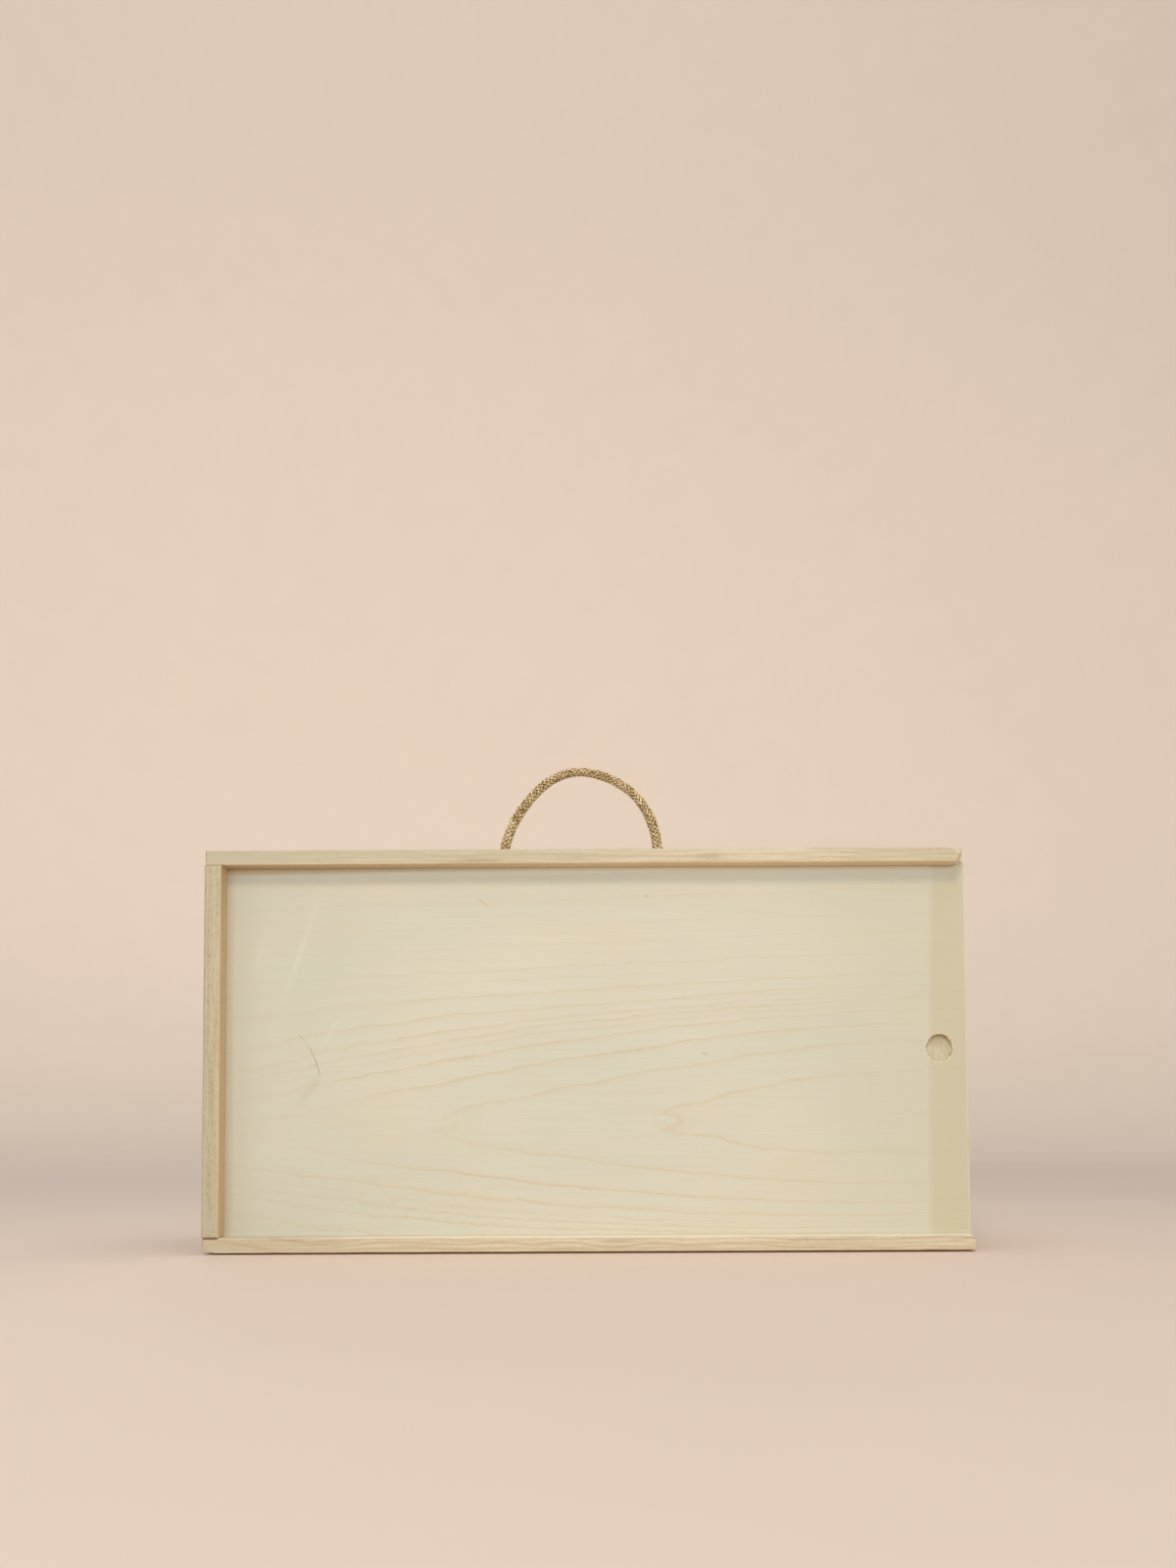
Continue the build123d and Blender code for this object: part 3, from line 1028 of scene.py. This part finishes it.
def frame_shades(place, base):
    """Painted shade and light on the lid beside the boards round it: under the top lip, beside the
    closed end, above the bottom lip.
    """
    x, _, z = place.parts()
    under_lip = top_z - board_thickness - z
    cool_shadow_tint = under_lip.fade(3.0 * MM, 11.0 * MM, 0.44, 0.0) * x.fade(0.184, 0.166)
    near_lip_glow = under_lip.fade(1.7 * MM, 0.3 * MM) * x.fade(-0.12, 0.0, 0.1, 0.5)
    wedge = under_lip - x.slope(-0.171, 0.15, 3.9 * MM, 0.6 * MM)
    shaded = wedge.fade(0.0, -1.5 * MM) * under_lip.fade(-0.3 * MM, 0.0)
    return paint(
        base,
        # Under the top lip: a cooler tint in the painted shadow, a painted warm glow from the lip,
        # painted shade in the groove and a painted shadow wedge
        ((204, 213, 206), cool_shadow_tint),
        ((255, 232, 190), near_lip_glow * x.fade(0.17, 0.16)),
        ((184, 172, 140), under_lip.fade(0.6 * MM, 0.0, 0.0, 0.6)),
        ((184, 162, 116), shaded * x.slope(-0.171, 0.0, 0.7, 0.0)),
        # Painted shade beside the closed end board, and painted light just above the bottom lip
        ((158, 126, 74), x.slope(-0.1718, -0.168, 0.34, 0.0)),
        ((246, 238, 212), z.fade(board_thickness, board_thickness + 3 * MM, 0.1, 0.0)),
    )


def lid_material():
    """Sanded plywood: pale face veneer with long growth lines, layered edges, scuffs and a scratch."""
    shader = Shader("lid_plywood", 0.25)
    place = shader.place()
    x, y, z = place.parts()
    late = late_wood(place)
    fibre = place.noise((16, 900, 900), 4, 0.65)
    fine = place.noise((90, 2600, 2600))
    cloud = place.noise((9, 9, 16), 3)
    warm = place.noise((15, 15, 55), 3, shift=(2, 7, 4))
    band = x - (z * z * 0.1 + place.noise(40) * 1.2 * MM + lid_band_x)
    arris_highlight = x.fade(lid_high.x - 0.9 * MM, lid_high.x - 0.4 * MM)
    base = paint(
        cloud.shades(0.3, 0.7, (207, 204, 186), (214, 208, 188)),
        ((214, 196, 158), warm.fade(0.5, 0.75, 0.0, 0.22)),
        ((202, 176, 130), late * 0.6),
        ((192, 180, 148), fibre.fade(0.35, 0.7, 0.14, 0.0)),
        ((180, 162, 130), fine.fade(0.6, 0.8, 0.0, 0.12)),
        # Darker and greyer towards both ends of the lid: painted falloff of the light
        ((197, 194, 176), x.fade(-0.17, -0.04, 0.55, 0.0)),
        ((180, 176, 156), x.fade(-0.172, -0.15, 0.35, 0.0)),
        ((200, 194, 170), x.fade(0.06, 0.17, 0.0, 0.6)),
        ((194, 183, 150), band.fade(-1.6 * MM, 2.2 * MM, 0.0, 0.6)),
        # Painted highlight on the rounded arris at the open end
        ((230, 222, 196), arris_highlight * 0.3),
    )
    base = frame_shades(place, base)
    break_up = place.noise(90, 3).fade(0.25, 0.75)
    upper, middle, lower = [streak(place, *mark) * share for *mark, share in scratch_parts]
    scratch = upper.math("MAXIMUM", middle).math("MAXIMUM", lower)
    face_y = shader.facing()[Y]
    base = paint(
        base,
        *[((234, 231, 214), streak(place, *mark) * break_up * share) for *mark, share in scuffs],
        ((146, 116, 82), scratch * 0.45),
        *[(shade, streak(place, *mark) * share) for *mark, share, shade in small_marks],
        ((222, 202, 162), face_y.fade(0.4, 0.8, 0.0, 0.6)),
    )
    edge_share = abs(face_y).fade(0.75, 0.35)
    layer = (y - lid_low.y) / lid_thickness
    pits = place.noise(1500)
    core = pits.mix(colour(170, 140, 98), colour(206, 182, 140))
    skins = place.noise((1600, 1600, 40)).mix(colour(206, 186, 148), colour(228, 213, 178))
    glue = layer.math("COMPARE", 0.2, 0.018).math("MAXIMUM", layer.math("COMPARE", 0.8, 0.018))
    edges = paint(layer.math("COMPARE", 0.5, 0.3).mix(skins, core), ((126, 96, 62), glue))
    base = recess_shade(place, edge_share.mix(base, edges))
    height = late * -0.3 + fibre * 0.5 + fine * 0.25 + scratch * -1.5 + edge_share * pits
    return shader.finish(base, height.bump(0.07 * MM, 0.7), fibre.fade(0.2, 0.8, 0.66, 0.54))


def round_corner(form):
    """Rubs the lid's upper corner at the open end to a round one, seen from the front."""
    middle_x, middle_z = lid_high.x - lid_corner_radius, lid_high.z - lid_corner_radius
    near_x, near_z = middle_x - 0.5 * MM, middle_z - 0.5 * MM

    def at_corner(place):
        return place.x > near_x and place.z > near_z

    cells = [(near_x, lid_high.x, 0.5 * MM), (1.0, 0.0, 1.0), (near_z, lid_high.z, 0.5 * MM)]
    refine(form, at_corner, cells)
    for vertex in form.verts:
        off_x, off_z = vertex.co.x - middle_x, vertex.co.z - middle_z
        if off_x <= 0 or off_z <= 0:
            continue
        round_share = max(off_x, off_z) / math.hypot(off_x, off_z)
        vertex.co.x = middle_x + off_x * round_share
        vertex.co.z = middle_z + off_z * round_share


# Finger recess: the grid that it is cut in, and the pitch of the rings left on its floor
recess_cell = 0.45 * MM
recess_margin = 1.6 * MM
ring_pitch = 1.35 * MM


def carve_recess(form):
    """Works the finger recess by hand: a sloping floor, tool marks and a torn rim."""
    centre = recess_centre
    reach = recess_radius + recess_margin
    near_front = lid_low.y + 0.6 * (lid_high.y - lid_low.y)

    def close(place):
        return math.hypot(place.x - centre.x, place.z - centre.z) < reach and place.y < near_front

    cells = [
        (centre.x - reach, centre.x + reach, recess_cell),
        (lid_low.y + 0.4 * MM, lid_low.y + recess_depth, 0.6 * MM),
        (centre.z - reach, centre.z + reach, recess_cell),
    ]
    refine(form, close, cells)
    floor_y = lid_low.y + recess_depth
    for vertex in form.verts:
        off = Vector((vertex.co.x - centre.x, 0, vertex.co.z - centre.z))
        if off.length > recess_radius + 1.2 * MM or vertex.co.y > floor_y + 0.01 * MM:
            continue
        inside = off.length < recess_radius + 0.05 * MM
        rough = roughness_at(vertex.co, 900, 21)
        if vertex.co.y > floor_y - 0.01 * MM and off.length < recess_radius - 0.02 * MM:
            rings = math.sin(off.length / ring_pitch * 2 * math.pi)
            lower = min(1.0, max(0.0, (0.6 * MM - off.z) / (0.5 * MM)))
            slope = lower * (0.25 + 0.5 * max(0.0, -off.z) / recess_radius)
            chatter = lower * 0.12 * roughness_at((vertex.co.x, 0, 0), 1500, 23)
            vertex.co.y -= (slope + chatter + 0.05 * rings + 0.07 * rough) * MM
        elif off.length > 0.1 * MM:
            torn = 1.0 if off.x > 0.3 * recess_radius or off.z < -0.3 * recess_radius else 0.35
            push = torn * (0.32 * rough + 0.18 * roughness_at(vertex.co, 2600, 22)) * MM
            vertex.co += off.normalized() * push * inside
        depth = (vertex.co.y - lid_low.y) / recess_depth
        if depth > 0.1 and inside:
            upper = min(1.0, max(0.0, (off.z / recess_radius - 0.1) / 0.7))
            right = min(1.0, max(0.0, off.x / recess_radius - 0.3))
            vertex.co -= off * (0.15 * upper + 0.12 * right * (1 - upper)) * depth


def make_lid():
    """The lid, with a hand-cut finger recess and one corner rubbed round."""
    form = cut_in_cells("sliding_lid", (3.0, 2.0, 3.0))
    carve_recess(form)
    round_corner(form)
    wear_edges(form, "sliding_lid", 9, depth=0.16)
    piece = settle(form, "sliding_lid_panel", lid_material())
    place_piece(piece, "sliding_lid", "lid")


make_lid()


def back_material():
    """Plainer plywood of the back panel, with long faint rings and layered edges."""
    shader = Shader("back_plywood", 0.25)
    place = shader.place()
    _, y, z = place.parts()
    phase = (z * 70.0 + place.noise((3.5, 4, 13), shift=(9, 2, 4)) * 10.0).math("FRACT")
    late = phase**5.0 * phase.fade(0.95, 1.0, 1.0, 0.0)
    fibre = place.noise((22, 1000, 1000), 4, 0.62)
    cloud = place.noise((8, 8, 20), 3, shift=(1, 5, 2))
    base = paint(
        cloud.shades(0.3, 0.7, (214, 196, 158), (226, 208, 172)),
        ((190, 160, 116), late * 0.45),
        ((180, 154, 114), fibre.fade(0.3, 0.7, 0.28, 0.0)),
    )
    edge_share = abs(shader.facing()[Y]).fade(0.75, 0.35)
    layer = (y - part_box("back_panel")[0].y) / back_thickness
    core = place.noise(1500).mix(colour(160, 130, 92), colour(198, 172, 130))
    base = edge_share.mix(base, layer.math("COMPARE", 0.5, 0.22).mix(colour(214, 196, 158), core))
    normal = (late * -0.4 + fibre * 0.6).bump(0.09 * MM, 0.8)
    return shader.finish(base, normal, fibre.fade(0.2, 0.8, 0.74, 0.6))


def make_back():
    form = cut_in_cells("back_panel", (4.0, 1.5, 4.0))
    wear_edges(form, "back_panel", 14, depth=0.22)
    piece = settle(form, "back_panel_sheet", back_material())
    place_piece(piece, "back_panel", "case")


make_back()


def steel_material():
    """Drawn wire nails: bright heads with hammer marks and a little dulling."""
    shader = Shader("nail_steel", 0.5)
    shader.surface["Metallic"].default_value = 1.0
    place = shader.place()
    dull = place.noise(700, 4, 0.7)
    base = dull.shades(0.35, 0.65, (128, 124, 118), (192, 190, 186))
    normal = place.noise(2600).bump(0.04 * MM, 0.8)
    return shader.finish(base, normal, dull.fade(0.3, 0.7, 0.55, 0.28))


steel = steel_material()
corner_brads = [f"{row}_{side}_brads" for row in ("top", "bottom") for side in ("left", "right")]
for name in (*corner_brads, "back_panel_pins"):
    nodes[name].data.materials.clear()
    nodes[name].data.materials.append(steel)


# Studio: a pale floor that curves up all round, and soft light. The bottom board isn't quite flat,
# so a narrow gap shows between it and the floor.
floor_gap = 0.8 * MM
floor_radius = 1.5
sweep_radius = 0.9
sweep_steps = 12
wall_height = 3.2
warm_white = (1.0, 0.985, 0.96)
sun_white = (1.0, 0.98, 0.95)


def studio_surface(name, profile, material):
    """A surface of revolution round the middle of the box, from reach and height pairs."""
    form = bmesh.new()
    strip = [form.verts.new((reach, 0, height)) for reach, height in profile]
    edges = [form.edges.new(pair) for pair in zip(strip, strip[1:])]
    bmesh.ops.spin(
        form, geom=strip + edges, axis=(0, 0, 1), cent=(0, 0, 0), angle=2 * math.pi, steps=96
    )
    bmesh.ops.remove_doubles(form, verts=form.verts[:], dist=1e-5)
    bmesh.ops.recalc_face_normals(form, faces=form.faces[:])
    piece = settle(form, name, material)
    return piece


def make_stage():
    """A plain floor, and a round sweep up into a wall that looks the same from every side."""
    shader = Shader("studio_paper", 0.1)
    place = shader.place()
    # Paler further from the box: painted light that keeps the far sweep as bright as the floor near
    # the box
    base = place.math("LENGTH").shades(0.5, 1.9, (226, 204, 187), (255, 231, 210))
    base = paint(base, ((236, 212, 194), place.noise(14, 5, 0.6) * 0.3))
    material = shader.finish(base, place.noise(900).bump(0.05 * MM, 0.3), 0.9)
    floor = [(reach, -floor_gap) for reach in (0.0, 0.4, 0.9, floor_radius)]
    studio_surface("studio_floor", floor, material)
    profile = [(floor_radius, -floor_gap)]
    for step in range(1, sweep_steps + 1):
        angle = math.radians(90 * step / sweep_steps)
        reach = floor_radius + sweep_radius * math.sin(angle)
        profile.append((reach, sweep_radius * (1 - math.cos(angle)) - floor_gap))
    profile.append((floor_radius + sweep_radius, wall_height))
    sweep = studio_surface("studio_sweep", profile, material)
    sweep.visible_diffuse = False
    sweep.visible_shadow = False


def add_light(data, direction, place=(0, 0, 0)):
    light = bpy.data.objects.new(data.name, data)
    light.location = place
    light.rotation_euler = Vector(direction).to_track_quat("-Z", "Y").to_euler()
    light.visible_camera = False
    bpy.context.scene.collection.objects.link(light)


def make_light(name, place, size, power):
    """A round soft light that points at the lower half of the box."""
    data = bpy.data.lights.new(name, "AREA")
    data.shape = "DISK"
    data.size = size
    data.energy = power
    data.color = warm_white
    add_light(data, Vector((0, 0, 0.1)) - Vector(place), place)


def make_sun(name, direction, strength, angle):
    """Broad light that comes the same way everywhere, in degrees across."""
    data = bpy.data.lights.new(name, "SUN")
    data.energy = strength
    data.angle = math.radians(angle)
    data.color = sun_white
    add_light(data, direction)


make_stage()
make_light("key", (-0.1, -1.18, 1.12), 0.4, 7.5)
make_light("overhead", (0.1, -0.3, 1.7), 1.2, 7.0)
make_sun("front", (-0.2, 1.0, -0.12), 0.95, 13)
make_sun("back", (0.3, -1.0, -0.2), 0.5, 30)
world = bpy.data.worlds.new("studio")
world.use_nodes = True
background = world.node_tree.nodes["Background"].inputs
background["Color"].default_value = colour(243, 250, 255)
background["Strength"].default_value = 0.46
bpy.context.scene.world = world
bpy.context.scene.view_settings.view_transform = "Standard"
